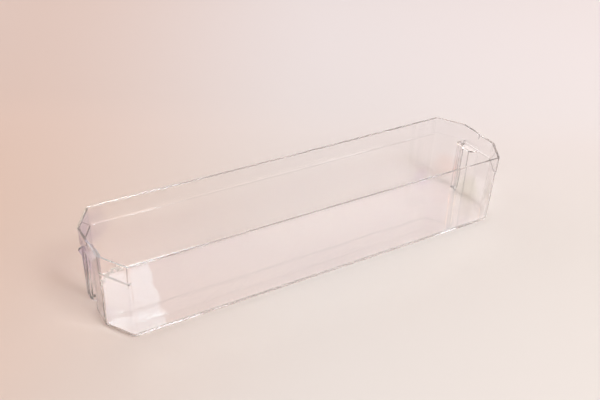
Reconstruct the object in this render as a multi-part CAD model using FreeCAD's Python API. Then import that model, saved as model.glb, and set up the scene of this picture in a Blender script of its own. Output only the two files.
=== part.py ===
"""Refrigerator door shelf: a long, clear, open-topped tray moulded in one piece.

Units are millimetres. The origin is the middle of the underside, +Z is up, X runs along the length,
and the front, which faces the room, is towards -Y. The two ends are mirror images.
"""
import FreeCAD, Part
import math
import os

Vector = FreeCAD.Vector

# Overall size, measured over the front half of the ends at the rim
length = 440.0
depth = 104.0
height = 78.5

# The four corners are cut off at a slant, longer along the ends than along the front
slant_along_length = 16.8
slant_along_depth = 27.3

# Wall, floor and the lean of the walls
wall = 2.2
floor = 2.4
draft_angle = 1.0

# Roundings
rim_corner_radius = 3.0
base_corner_radius = 6.5
base_edge_radius = 4.2
rim_inner_radius = 0.6

# The long walls are pulled in a little at mid-length, from nothing low down to the most at the rim
rim_bow = 1.0
bow_start = 10.0

# Band round the rim that stands proud of the lower walls, above a sloping shoulder. The front has none.
band_height = 18.0
band_step = 0.6
shoulder_height = 1.6

# At each end the rear half of the rim stands further out, from just behind the front of the pocket's mouth.
# Below a short full part the jog fades out, to almost nothing at its foot.
end_jog = 0.8
jog_height = 7.5
jog_full = 1.5
jog_at_foot = 0.05
jog_setback = 1.0
jog_radius = 1.0

# Pocket in the rear half of each end, open below and outwards, which drops over a lug of the door
pocket_to_corner = 7.2
pocket_width = 13.0
pocket_depth = 7.5
pocket_flare = 4.0
pocket_roof_drop = 3.5
pocket_draft_angle = 0.8
pocket_corner_radius = 1.2

# Slanted socket behind each pocket, open below
socket_length = 5.0
socket_width = 4.4
socket_wall = 1.8
socket_corner_radius = 0.7

# Guide rib on the outside, just behind the mouth of each pocket, with a rounded hook on top
rib_gap = 0.5
rib_thickness = 2.2
rib_projection = 1.3
rib_foot = 6.0
rib_root = 1.0
rib_bevel = 0.4
hook_reach = 3.9
hook_height = 10.0
hook_radius = 3.4

# How far a cutting shape runs past what it cuts, and how close two heights are to be the same
overshoot = 5.0
same_height = 0.01

# Heights of the fold under the band, the foot of its shoulder and the roof of the pocket
fold_z = height - band_height
shoulder_z = fold_z - shoulder_height
jog_z = height - jog_height
pocket_height = fold_z - pocket_roof_drop

# Places along the depth of the pocket's mouth, its flat back and the jog
mouth_rear = depth / 2 - slant_along_depth - pocket_to_corner
pocket_rear = mouth_rear - pocket_flare
pocket_front = pocket_rear - pocket_width
mouth_front = pocket_front - pocket_flare
jog_start = mouth_front + jog_setback


def lean(z, angle=draft_angle):
    """Distance that a wall leaning by the angle moves in between the rim and height z."""
    return (height - z) * math.tan(math.radians(angle))


def inset(points, distances):
    """Moves the sides of a counter-clockwise polygon inwards and returns the new corners.

    distances gives one distance for each side, named by its first corner.
    """
    moved = []
    for k in range(len(points)):
        before = points[k - 1]
        here = points[k]
        after = points[(k + 1) % len(points)]
        in_dir = (here - before).normalize()
        out_dir = (after - here).normalize()
        in_normal = Vector(-in_dir.y, in_dir.x, 0)
        out_normal = Vector(-out_dir.y, out_dir.x, 0)
        overlap = in_normal.dot(out_normal)
        spread = 1.0 - overlap * overlap
        in_part = (distances[k - 1] - overlap * distances[k]) / spread
        out_part = (distances[k] - overlap * distances[k - 1]) / spread
        moved.append(here + in_normal * in_part + out_normal * out_part)
    return moved


def rounded_wire(points, radii, z, bows=None):
    """Closed wire through a polygon at height z, its corners rounded and its sides bowed inwards.

    bows gives, for some sides by their first corner, how far the middle of the side is pulled in.
    """
    bows = bows or {}
    starts = []
    ends = []
    corners = []
    for k, radius in enumerate(radii):
        here = points[k]
        in_dir = (here - points[k - 1]).normalize()
        out_dir = (points[(k + 1) % len(points)] - here).normalize()
        turn = in_dir.getAngle(out_dir)
        back = radius * math.tan(turn / 2)
        start = here - in_dir * back
        end = here + out_dir * back
        middle = here + (out_dir - in_dir).normalize() * radius * (1 / math.cos(turn / 2) - 1)
        starts.append(start)
        ends.append(end)
        corners.append((start, middle, end))
    edges = []
    up = Vector(0, 0, z)
    for k, (start, middle, end) in enumerate(corners):
        edges.append(Part.Arc(start + up, middle + up, end + up).toShape())
        following = starts[(k + 1) % len(points)]
        if bows.get(k):
            along = (following - end).normalize()
            inwards = Vector(-along.y, along.x, 0)
            waist = (end + following) * 0.5 + inwards * bows[k]
            curve = Part.BSplineCurve()
            tangent = following - end
            curve.interpolate(Points=[end + up, waist + up, following + up],
                              InitialTangent=tangent, FinalTangent=tangent)
            edges.append(curve.toShape())
        else:
            edges.append(Part.LineSegment(end + up, following + up).toShape())
    return Part.Wire(edges)


def tray_corners():
    """The eight corners of the rim, counter-clockwise from the left end of the front."""
    x = length / 2
    y = depth / 2
    return [
        Vector(-x + slant_along_length, -y, 0),
        Vector(x - slant_along_length, -y, 0),
        Vector(x, -y + slant_along_depth, 0),
        Vector(x, y - slant_along_depth, 0),
        Vector(x - slant_along_length, y, 0),
        Vector(-x + slant_along_length, y, 0),
        Vector(-x, y - slant_along_depth, 0),
        Vector(-x, -y + slant_along_depth, 0),
    ]


def rim_corners(jog):
    """The corners of the rim, with a jog in each end by which the rear half stands out.

    The slanted rear corners are carried on, at the same slant, to the ends that stand out.
    """
    corners = tray_corners()
    carried = jog * slant_along_depth / slant_along_length
    right_end = [
        Vector(length / 2, jog_start, 0),
        Vector(length / 2 + jog, jog_start + end_jog, 0),
        Vector(length / 2 + jog, depth / 2 - slant_along_depth - carried, 0),
    ]
    left_end = [Vector(-corner.x, corner.y, 0) for corner in reversed(right_end)]
    return corners[:3] + right_end + corners[4:6] + left_end + corners[7:]


def is_beside_jog(corner):
    """True for the two corners at which an end of the rim steps out."""
    return jog_start <= corner.y <= jog_start + end_jog


def section(corners, z, extra, step=0.0):
    """Rounded wire through the tray's corners at height z, moved in by extra from the leaning wall.

    All sides but the front are moved in by the step too. The front and the back are pulled in at the
    middle by the rim's bow.
    """
    radius = base_corner_radius + (rim_corner_radius - base_corner_radius) * z / height
    steps = [0.0 if is_front(corners, k) else step for k in range(len(corners))]
    points = inset(corners, [lean(z) + extra + step for step in steps])
    inner_radius = max(radius - extra, rim_inner_radius)
    radii = [jog_radius if is_beside_jog(corner) else inner_radius for corner in corners]
    bow = rim_bow * max(z - bow_start, 0.0) / (height - bow_start)
    bows = {k: bow for k in range(len(points)) if is_long_side(points, k)}
    return rounded_wire(points, radii, z, bows)


def is_front(corners, k):
    """True where the side after corner k is the front."""
    return max(corners[k].y, corners[(k + 1) % len(corners)].y) == -depth / 2


def is_long_side(points, k):
    """True where the side after corner k is the front or the back."""
    side = points[(k + 1) % len(points)] - points[k]
    return abs(side.x) > length / 2


def loft(wires):
    """Solid between closed wires, straight from each to the next."""
    return Part.makeLoft(wires, True, True)


def round_bottom(solid, radius):
    """Rounds the lowest edges of a solid."""
    low = solid.BoundBox.ZMin
    edges = [edge for edge in solid.Edges if edge.BoundBox.ZMax < low + same_height]
    return solid.makeFillet(radius, edges)


def band_sections(extra):
    """Outlines of the band, moved in by extra, from the foot of its shoulder to the rim.

    The first lies a little inside the lower walls, so that the shoulder runs out of them.
    """
    plain = rim_corners(jog_at_foot)
    return [
        section(plain, shoulder_z, extra, band_step + jog_at_foot),
        section(plain, fold_z, extra),
        section(plain, jog_z, extra),
        section(rim_corners(end_jog), height - jog_full, extra),
        section(rim_corners(end_jog), height, extra),
    ]


def filled_form():
    """The tray's outer form, filled in."""
    lower = loft([section(tray_corners(), z, 0, band_step) for z in (0, bow_start, fold_z)])
    return round_bottom(lower, base_edge_radius).fuse(loft(band_sections(0)))


def hollow_form():
    """The space inside the tray, before the end pockets stand into it."""
    lower = loft([section(tray_corners(), z, wall, band_step) for z in (floor, bow_start, fold_z)])
    above = section(rim_corners(end_jog), height + overshoot, wall)
    return round_bottom(lower, base_edge_radius - wall).fuse(loft(band_sections(wall) + [above]))


def end_wall_x(z):
    """Outer face of the right end below the band, at height z."""
    return length / 2 - band_step - lean(z)


def pocket_corners():
    """Plan of the right pocket at the base: a flat back and two sides that flare to the mouth."""
    back = end_wall_x(0) - pocket_depth
    mouth = end_wall_x(0) + overshoot
    flare = pocket_flare * (mouth - back) / pocket_depth
    return [
        Vector(back, pocket_front, 0),
        Vector(mouth, pocket_front - flare, 0),
        Vector(mouth, pocket_rear + flare, 0),
        Vector(back, pocket_rear, 0),
    ]


def socket_corners():
    """Plan of the right socket at the base, its long sides along the pocket's rear side."""
    back, mouth = pocket_corners()[3], pocket_corners()[2]
    along = (mouth - back).normalize()
    step = Vector(0, 1, 0) / along.x
    front_inner = back + step * socket_wall
    front_outer = front_inner + along * socket_length
    return [
        front_inner,
        front_outer,
        front_outer + step * socket_width,
        front_inner + step * socket_width,
    ]


def core(corners, grow, bottom, top, radius):
    """Upright shape on a plan grown by some distance, which narrows upwards by the pocket's draft."""
    wires = []
    for z in (bottom, top):
        distance = z * math.tan(math.radians(pocket_draft_angle)) - grow
        points = inset(corners, [distance] * len(corners))
        wires.append(rounded_wire(points, [radius] * len(points), z))
    return loft(wires)


def pocket_core(grow=0.0, bottom=-overshoot):
    """The pocket itself, or with grow, its walls and roof too."""
    return core(pocket_corners(), grow, bottom, pocket_height + grow, pocket_corner_radius + grow)


def socket_core(grow=0.0, bottom=-overshoot):
    """The socket itself, or with grow, its walls and roof too."""
    top = pocket_height + wall - socket_wall + grow
    return core(socket_corners(), grow, bottom, top, socket_corner_radius + grow)


def guide_rib():
    """Upright rib on the right end, which widens near the top into a hook with a round shoulder."""
    top = fold_z
    hook_foot = top - hook_height
    tip = end_wall_x(top) + hook_reach
    low = Vector(end_wall_x(rib_foot) - rib_root, 0, rib_foot)
    foot = Vector(end_wall_x(rib_foot) + rib_projection, 0, rib_foot + rib_projection + rib_root)
    neck = Vector(end_wall_x(hook_foot) + rib_projection, 0, hook_foot)
    side = Vector(tip, 0, top - hook_radius)
    crown = Vector(tip - hook_radius, 0, top)
    bend = Vector(tip - hook_radius * (1 - math.sqrt(0.5)), 0, top - hook_radius * (1 - math.sqrt(0.5)))
    last = Vector(end_wall_x(top) - rib_root, 0, top)
    outline = Part.Wire([
        Part.LineSegment(low, foot).toShape(),
        Part.LineSegment(foot, neck).toShape(),
        Part.LineSegment(neck, side).toShape(),
        Part.Arc(side, bend, crown).toShape(),
        Part.LineSegment(crown, last).toShape(),
        Part.LineSegment(last, low).toShape(),
    ])
    plate = Part.Face(outline).extrude(Vector(0, rib_thickness, 0))
    flat_edges = [edge for edge in plate.Edges if edge.BoundBox.YLength < rib_thickness / 2]
    outer_edges = [edge for edge in flat_edges if edge.BoundBox.XMax > end_wall_x(rib_foot)]
    plate = plate.makeChamfer(rib_bevel, outer_edges)
    plate.translate(Vector(0, mouth_rear + rib_gap, 0))
    return plate


def both_ends(shape):
    """A shape of the right end together with its mirror image at the left end."""
    return [shape, shape.mirror(Vector(0, 0, 0), Vector(1, 0, 0))]


def round_inner_rim(solid):
    """Rounds the inner edge of the rim. The outer one is where the mould parts, and stays sharp."""
    [face] = [face for face in solid.Faces if face.BoundBox.ZMin > height - same_height]
    [inner] = [wire for wire in face.Wires if not wire.isSame(face.OuterWire)]
    return solid.makeFillet(rim_inner_radius, inner.Edges)


def door_shelf():
    """The whole shelf as one solid."""
    hollow = hollow_form()
    for bump in both_ends(pocket_core(wall, 0.0)) + both_ends(socket_core(socket_wall, 0.0)):
        hollow = hollow.cut(bump)
    [walls] = filled_form().cut(hollow).Solids
    shelf = round_inner_rim(walls)
    for opening in both_ends(pocket_core()) + both_ends(socket_core()):
        shelf = shelf.cut(opening)
    for rib in both_ends(guide_rib()):
        shelf = shelf.fuse(rib)
    [shelf] = shelf.Solids
    return shelf


os.makedirs("parts", exist_ok=True)
shelf = door_shelf()
shelf.exportStep("parts/door_shelf.step")
print("valid", shelf.isValid(), "volume", round(shelf.Volume), "faces", len(shelf.Faces))
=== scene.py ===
"""A clear plastic refrigerator door shelf, standing on a pale paper sweep in a small studio.

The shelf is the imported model, which keeps its own mesh and gets its plastic here. Lengths are metres,
in the frame of the model: X along the shelf, -Y to its front, Z up, the origin under its middle.
"""

import math

import bpy
import numpy as np
from mathutils import Matrix, Vector


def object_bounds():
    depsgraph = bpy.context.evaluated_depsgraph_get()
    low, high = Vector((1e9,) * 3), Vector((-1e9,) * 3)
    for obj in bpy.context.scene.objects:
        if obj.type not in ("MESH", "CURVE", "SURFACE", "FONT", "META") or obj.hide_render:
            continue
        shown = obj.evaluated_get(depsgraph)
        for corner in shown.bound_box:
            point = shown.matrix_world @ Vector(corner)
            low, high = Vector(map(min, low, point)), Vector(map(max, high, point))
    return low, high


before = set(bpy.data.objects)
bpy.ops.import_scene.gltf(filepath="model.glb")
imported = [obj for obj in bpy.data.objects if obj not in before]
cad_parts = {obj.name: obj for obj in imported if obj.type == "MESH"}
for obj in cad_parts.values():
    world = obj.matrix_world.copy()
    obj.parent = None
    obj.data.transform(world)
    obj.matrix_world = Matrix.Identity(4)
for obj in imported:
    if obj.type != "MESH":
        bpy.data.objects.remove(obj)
cad_low, cad_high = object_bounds()


# Shelf: one moulding of clear, almost colourless styrene plastic with polished faces.
# The mould leaves its walls and floor very slightly wavy, which shows in what they mirror. Its stress shows
# as faint colours near both ends, darkened at the left end as painted shade. Use has left hazy rubs, and a
# white painted highlight lies as a jagged line across the front left slant.
class Tree:
    """The nodes of one material or world, with one method that adds any node."""

    def __init__(self, owner):
        owner.use_nodes = True
        self.nodes = owner.node_tree.nodes
        self.links = owner.node_tree.links
        self.nodes.clear()

    def add(self, kind, settings=None, **sockets):
        """Adds a node of a type, makes its settings first, and then sets or links its sockets by name."""
        node = self.nodes.new(kind)
        for name, value in (settings or {}).items():
            setattr(node, name, value)
        for name, value in sockets.items():
            self.feed(node.inputs[name.replace("_", " ")], value)
        return node

    def feed(self, socket, value):
        """Links a wrapped socket to an input, or sets the input to a plain value."""
        if isinstance(value, Value):
            self.links.new(value.socket, socket)
        else:
            socket.default_value = value


class Value:
    """An output socket whose arithmetic adds Math nodes to its tree."""

    def __init__(self, tree, socket):
        self.tree = tree
        self.socket = socket

    def math(self, operation, *values):
        node = self.tree.add("ShaderNodeMath", {"operation": operation})
        for socket, value in zip(node.inputs, values):
            self.tree.feed(socket, value)
        return Value(self.tree, node.outputs[0])

    def __add__(self, other):
        return self.math("ADD", self, other)

    def __radd__(self, other):
        return self.math("ADD", other, self)

    def __sub__(self, other):
        return self.math("SUBTRACT", self, other)

    def __rsub__(self, other):
        return self.math("SUBTRACT", other, self)

    def __mul__(self, other):
        return self.math("MULTIPLY", self, other)

    def __rmul__(self, other):
        return self.math("MULTIPLY", other, self)

    def between(self, low, high):
        """0 where this is under low, 1 where it is over high, and smooth in between."""
        node = self.tree.add("ShaderNodeMapRange", {"interpolation_type": "SMOOTHSTEP"})
        self.tree.feed(node.inputs["Value"], self)
        node.inputs["From Min"].default_value = low
        node.inputs["From Max"].default_value = high
        return Value(self.tree, node.outputs["Result"])


def place(tree, scale=(1.0, 1.0, 1.0)):
    """Object coordinates, stretched by a scale for each axis."""
    coordinates = tree.add("ShaderNodeTexCoord")
    where = Value(tree, coordinates.outputs["Object"])
    mapping = tree.add("ShaderNodeMapping", Vector=where, Scale=scale)
    return Value(tree, mapping.outputs["Vector"])


def noise(tree, scale, detail, stretch=(1.0, 1.0, 1.0), rough=0.5):
    """Soft random values about 0.5, with scale features to a metre."""
    node = tree.add("ShaderNodeTexNoise", Vector=place(tree, stretch), Scale=scale, Detail=detail,
                    Roughness=rough)
    return Value(tree, node.outputs["Fac"])


def mix(tree, factor, first, second):
    """Colour between two colours."""
    node = tree.add("ShaderNodeMix", {"data_type": "RGBA"})
    tree.feed(node.inputs["Factor"], factor)
    for name, colour in (("A", first), ("B", second)):
        socket = [s for s in node.inputs if s.name == name and s.type == "RGBA"][0]
        tree.feed(socket, colour)
    out = [s for s in node.outputs if s.type == "RGBA"][0]
    return Value(tree, out)


def spot(tree, centre, reach):
    """1 at a point, falling off softly to 0 at the reach, with an uneven edge."""
    core = 0.2 * reach
    unevenness = 0.8 * reach
    edge_scale = 45.0
    away = tree.add("ShaderNodeVectorMath", {"operation": "DISTANCE"})
    tree.feed(away.inputs[0], place(tree))
    tree.feed(away.inputs[1], centre)
    uneven = (noise(tree, edge_scale, 2.0) - 0.5) * unevenness
    return 1.0 - (Value(tree, away.outputs["Value"]) + uneven).between(core, reach)


def metres_along(tree, direction, start):
    """Metres along a direction, counted from a point."""
    node = tree.add("ShaderNodeVectorMath", {"operation": "DOT_PRODUCT"})
    tree.feed(node.inputs[0], place(tree))
    tree.feed(node.inputs[1], direction)
    return Value(tree, node.outputs["Value"]) - direction.dot(start)


def metres_above(tree, level):
    """Height over a level, in metres."""
    return metres_along(tree, Vector((0.0, 0.0, 1.0)), Vector((0.0, 0.0, level)))


def line(distance, half, core):
    """1 along a line and 0 beyond half its width. The core is the share of the half that stays at 1."""
    return 1.0 - (distance * distance).between((core * half) ** 2, half ** 2)


plastic_index = 1.57
plastic_pale = (0.985, 0.978, 0.980, 1.0)
plastic_cool = (0.975, 0.968, 0.975, 1.0)
plastic_body = (0.50, 0.43, 0.43, 1.0)
body_density = 4.5
polished = 0.012
rubbed = 0.05
rub_share = 0.5
wave_height = 0.00016
wave_scale = 24.0
haze_scale = 35.0
haze_stretch = (1.0, 1.0, 1.6)
haze_between = (0.52, 0.72)
rub_scale = 240.0
rub_stretch = (0.25, 1.0, 1.0)
rub_between = (0.62, 0.75)
tint_scale = 9.0
tint_between = (0.35, 0.65)
# The left end's stress colour is darker than the others: painted shade there, over the stress colour.
stress_colour_and_painted_shade_left = (0.70, 0.66, 0.80, 1.0)
stress_red = (0.95, 0.87, 0.85, 1.0)
stress_olive = (0.88, 0.88, 0.82, 1.0)
stress_violet = (0.94, 0.90, 0.96, 1.0)

# A painted highlight, white and jagged, lies across the band of the front left slant, where its shoulder
# catches light. Its middle line falls from the rim at the near corner to the foot of the band at the far
# one, as a parabola, and the fold at the foot of the band gets a painted highlight with it. The sizes of
# the shelf, slant and band are the model's.
shelf_length = 0.440
slant_along_length = 0.0168
slant_along_depth = 0.0273
band_height = 0.018
slant_skin = 0.0046
skin_fade = 0.0004
corner_fade = 0.002
glint_paint_white = (0.97, 0.965, 0.955, 1.0)
glint_paint_roughness = 0.5
glint_below_rim = 0.001
glint_drop = 29.5
glint_half = 0.0015
glint_core = 0.4
glint_fades_in = 0.014
glint_jag = 0.013
glint_jag_scale = 300.0
glint_strength = 0.95
fold_glint_half = 0.0009
fold_glint_core = 0.6
fold_glint_strength = 0.75
near_corner = Vector((slant_along_length - shelf_length / 2, cad_low[1], 0.0))
far_corner = Vector((-shelf_length / 2, cad_low[1] + slant_along_depth, 0.0))
across_slant = (far_corner - near_corner).normalized()
out_of_slant = Vector((-across_slant.y, across_slant.x, 0.0))
slant_width = (far_corner - near_corner).length

plastic = bpy.data.materials.new("clear_styrene")
tree = Tree(plastic)
waves = noise(tree, wave_scale, 1.0)
haze = noise(tree, haze_scale, 5.0, haze_stretch, 0.6).between(*haze_between)
rubs = noise(tree, rub_scale, 2.0, rub_stretch).between(*rub_between)
tint = noise(tree, tint_scale, 2.0).between(*tint_between)
bump = tree.add("ShaderNodeBump", Height=waves, Distance=wave_height, Strength=1.0)
colour = mix(tree, tint, plastic_pale, plastic_cool)
# Stress colours mixed in as spots, with painted shade in the spot at the left end.
for centre, reach, stress_and_shade in (
    ((-0.222, 0.030, 0.060), 0.045, stress_colour_and_painted_shade_left),
    ((0.206, 0.030, 0.022), 0.022, stress_red),
    ((0.216, 0.000, 0.012), 0.022, stress_olive),
    ((0.188, 0.044, 0.010), 0.016, stress_violet),
):
    colour = mix(tree, spot(tree, centre, reach), colour, stress_and_shade)
clear = tree.add(
    "ShaderNodeBsdfPrincipled",
    Base_Color=colour,
    Roughness=polished + (rubbed - polished) * (haze * (1.0 - rub_share) + rubs * haze * rub_share),
    IOR=plastic_index,
    Transmission_Weight=1.0,
    Normal=Value(tree, bump.outputs["Normal"]),
)
sideways = metres_along(tree, across_slant, near_corner)
outwards = metres_along(tree, out_of_slant, near_corner)
at_slant = outwards.between(-slant_skin - skin_fade, -slant_skin)
before_far_corner = 1.0 - sideways.between(slant_width - corner_fade, slant_width)
# Painted highlight: a white mix over the clear plastic along a jagged line and along the fold of the front
# left slant.
jag = (noise(tree, glint_jag_scale, 0.0) - 0.5) * glint_jag
off_glint = metres_above(tree, cad_high[2] - glint_below_rim) + sideways * sideways * glint_drop + jag
painted_glint = line(off_glint, glint_half, glint_core)
painted_glint = painted_glint * sideways.between(corner_fade, glint_fades_in) * before_far_corner
painted_fold_glint = line(metres_above(tree, cad_high[2] - band_height), fold_glint_half, fold_glint_core)
painted_fold_glint = painted_fold_glint * sideways.between(0.0, corner_fade) * before_far_corner
painted_highlight = (painted_glint * glint_strength + painted_fold_glint * fold_glint_strength * (1.0 - painted_glint)) * at_slant
painted_highlight_bsdf = tree.add("ShaderNodeBsdfPrincipled", Base_Color=glint_paint_white, Roughness=glint_paint_roughness)
surface = tree.add("ShaderNodeMixShader", Fac=painted_highlight)
tree.feed(surface.inputs[1], Value(tree, clear.outputs["BSDF"]))
tree.feed(surface.inputs[2], Value(tree, painted_highlight_bsdf.outputs["BSDF"]))
body = tree.add("ShaderNodeVolumeAbsorption", Color=plastic_body, Density=body_density)
tree.add("ShaderNodeOutputMaterial", Surface=Value(tree, surface.outputs["Shader"]),
         Volume=Value(tree, body.outputs["Volume"]))

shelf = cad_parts["door_shelf"]
shelf.data.materials.clear()
shelf.data.materials.append(plastic)


# Camera: a normal lens on a stand, looking down over the shelf's front left corner.
# Its place is the one from which the corners of the rim and of the base line up.
camera_turn = math.radians(-32.06)
camera_rise = math.radians(32.53)
camera_roll = math.radians(2.66)
camera_distance = 0.9275
camera_target = Vector((0.0420, 0.0774, 0.0))
lens_pixels = 833.0
picture_width = 600.0
sensor_width = 36.0

away = Vector((math.sin(camera_turn) * math.cos(camera_rise),
               -math.cos(camera_turn) * math.cos(camera_rise),
               math.sin(camera_rise)))
level_right = Vector((math.cos(camera_turn), math.sin(camera_turn), 0.0))
level_up = away.cross(level_right)
right = level_right * math.cos(camera_roll) + level_up * math.sin(camera_roll)
up = level_up * math.cos(camera_roll) - level_right * math.sin(camera_roll)
camera_data = bpy.data.cameras.new("camera")
camera_data.sensor_width = sensor_width
camera_data.lens = sensor_width * lens_pixels / picture_width
camera_data.clip_start = 0.01
camera = bpy.data.objects.new("camera", camera_data)
turned = Matrix((right, up, away)).transposed().to_4x4()
camera.matrix_world = Matrix.Translation(camera_target + away * camera_distance) @ turned
bpy.context.scene.collection.objects.link(camera)
bpy.context.scene.camera = camera


# Sweep: a sheet of pale pink paper that lies flat and then rises gently behind the shelf.
# It faces the camera. Its colour goes from a warmer, darker pink at the left to a paler one at the right,
# and grows lighter towards the back: partly the paper's own tone, partly painted shade at the left and
# painted light at the right and back.
paper_gap = 0.0003
sweep_back = 0.150
sweep_bend = 0.25
sweep_rise = math.radians(18.0)
sweep_length = 1.2
sweep_front = 1.6
sweep_half = 2.2
sweep_arc_points = 9
paper_left_with_painted_shade = (0.728, 0.530, 0.442, 1.0)
paper_right_with_painted_light = (0.724, 0.656, 0.628, 1.0)
paper_far_left_with_painted_light = (0.750, 0.583, 0.530, 1.0)
paper_far_right_with_painted_light = (0.805, 0.728, 0.738, 1.0)
paper_turns_left = -0.42
paper_turns_right = 0.06
paper_turns_near = -0.10
paper_turns_far = 0.40
paper_roughness = 0.85
paper_shine = 0.2

forward = Vector((-math.sin(camera_turn), math.cos(camera_turn), 0.0))


def sweep_points(across, along):
    """Points of the sweep for arrays of metres across the view and metres along the paper.

    Along the paper the profile is a straight floor, then an arc, then a straight rise.
    """
    angle = np.clip((along - sweep_back) / sweep_bend, 0.0, sweep_rise)
    past = np.maximum(along - sweep_back - sweep_bend * sweep_rise, 0.0)
    out = np.minimum(along, sweep_back) + sweep_bend * np.sin(angle) + past * math.cos(sweep_rise)
    height = sweep_bend * (1.0 - np.cos(angle)) + past * math.sin(sweep_rise)
    x = camera_target.x + level_right.x * across + forward.x * out
    y = camera_target.y + level_right.y * across + forward.y * out
    return np.stack([x, y, height - paper_gap], axis=-1)


arc = sweep_bend * sweep_rise
across = np.array([-sweep_half, sweep_half])
along = np.concatenate([[-sweep_front], np.linspace(sweep_back, sweep_back + arc, sweep_arc_points),
                        [sweep_back + arc + sweep_length]])
grid = sweep_points(across[None, :], along[:, None] * np.ones(2)[None, :])
rows = len(along) - 1
faces = [(2 * k, 2 * k + 1, 2 * k + 3, 2 * k + 2) for k in range(rows)]
paper_mesh = bpy.data.meshes.new("sweep")
paper_mesh.from_pydata(grid.reshape(-1, 3).tolist(), [], faces)
paper_mesh.polygons.foreach_set("use_smooth", [True] * rows)
sweep = bpy.data.objects.new("sweep", paper_mesh)
bpy.context.scene.collection.objects.link(sweep)

paper = bpy.data.materials.new("pale_paper")
tree = Tree(paper)
# Painted shade and light: the paper darkens towards the left and lightens towards the right and the back,
# over its own pink tone.
painted_light_to_right = metres_along(tree, level_right, camera_target).between(paper_turns_left, paper_turns_right)
painted_light_to_far = metres_along(tree, forward, camera_target).between(paper_turns_near, paper_turns_far)
near_paper_and_shade = mix(tree, painted_light_to_right, paper_left_with_painted_shade, paper_right_with_painted_light)
far_paper_and_light = mix(tree, painted_light_to_right, paper_far_left_with_painted_light, paper_far_right_with_painted_light)
matt = tree.add("ShaderNodeBsdfPrincipled", Base_Color=mix(tree, painted_light_to_far, near_paper_and_shade, far_paper_and_light),
                Roughness=paper_roughness, Specular_IOR_Level=paper_shine)
tree.add("ShaderNodeOutputMaterial", Surface=Value(tree, matt.outputs["BSDF"]))
sweep.data.materials.append(paper)


# Lamps: soft boxes round the table, and a dim room.
# The key is high in front and gives the shadow. The floor, the rims and the folds mirror the strips and
# the low panel, and the other panels light the paper from behind, from both sides and from the front.
def soft_box(name, turn, rise, distance, width, height, level, colour):
    """Flat lamp that faces the shelf, at a bearing from +Y towards +X and a height, both in degrees.

    level is the brightness of its face, where 1 is a white surface in full light.
    """
    a = math.radians(turn)
    e = math.radians(rise)
    where = Vector((math.sin(a) * math.cos(e), math.cos(a) * math.cos(e), math.sin(e))) * distance
    lamp = bpy.data.lights.new(name, "AREA")
    lamp.shape = "RECTANGLE"
    lamp.size = width
    lamp.size_y = height
    lamp.energy = level * math.pi * width * height
    lamp.color = colour
    box = bpy.data.objects.new(name, lamp)
    box.matrix_world = Matrix.Translation(where) @ where.to_track_quat("Z", "Y").to_matrix().to_4x4()
    bpy.context.scene.collection.objects.link(box)


soft_box("key_box", 168.0, 52.0, 1.6, 0.46, 0.36, 18.0, (0.8, 0.93, 1.0))
soft_box("back_panel", 20.0, 30.0, 2.1, 3.4, 1.2, 1.15, (1.0, 0.84, 0.8))
soft_box("right_panel", 80.0, 22.0, 2.0, 0.80, 0.60, 4.3, (1.0, 0.76, 0.58))
soft_box("left_panel", 260.0, 38.0, 2.0, 0.90, 0.60, 1.1, (1.0, 0.78, 0.84))
soft_box("far_left_panel", -40.0, 38.0, 2.0, 0.60, 0.56, 3.8, (0.98, 1.0, 0.96))
soft_box("upper_strip", -3.0, 42.0, 2.0, 0.95, 0.30, 1.6, (0.6, 0.88, 1.0))
soft_box("lower_strip", -3.0, 34.5, 2.0, 0.95, 0.12, 2.8, (1.0, 0.84, 0.62))
soft_box("front_panel", 160.0, 32.0, 2.0, 2.10, 0.90, 2.55, (1.0, 0.946, 0.875))
soft_box("low_panel", 183.0, 10.0, 2.2, 1.30, 0.60, 2.5, (1.0, 0.97, 0.95))

room_colour = (1.0, 0.953, 0.90, 1.0)
room_level = 0.40
world = bpy.data.worlds.new("room")
bpy.context.scene.world = world
tree = Tree(world)
room = tree.add("ShaderNodeBackground", Color=room_colour, Strength=room_level)
tree.add("ShaderNodeOutputWorld", Surface=Value(tree, room.outputs["Background"]))

# Light runs a long way inside the clear walls before it comes out at an edge.
path_steps = 96
steps_in_plastic = 64
scene = bpy.context.scene
scene.view_settings.view_transform = "Standard"
scene.cycles.max_bounces = path_steps
scene.cycles.transmission_bounces = steps_in_plastic
scene.cycles.glossy_bounces = steps_in_plastic
scene.cycles.blur_glossy = 0.0
scene.cycles.sample_clamp_indirect = 0.0
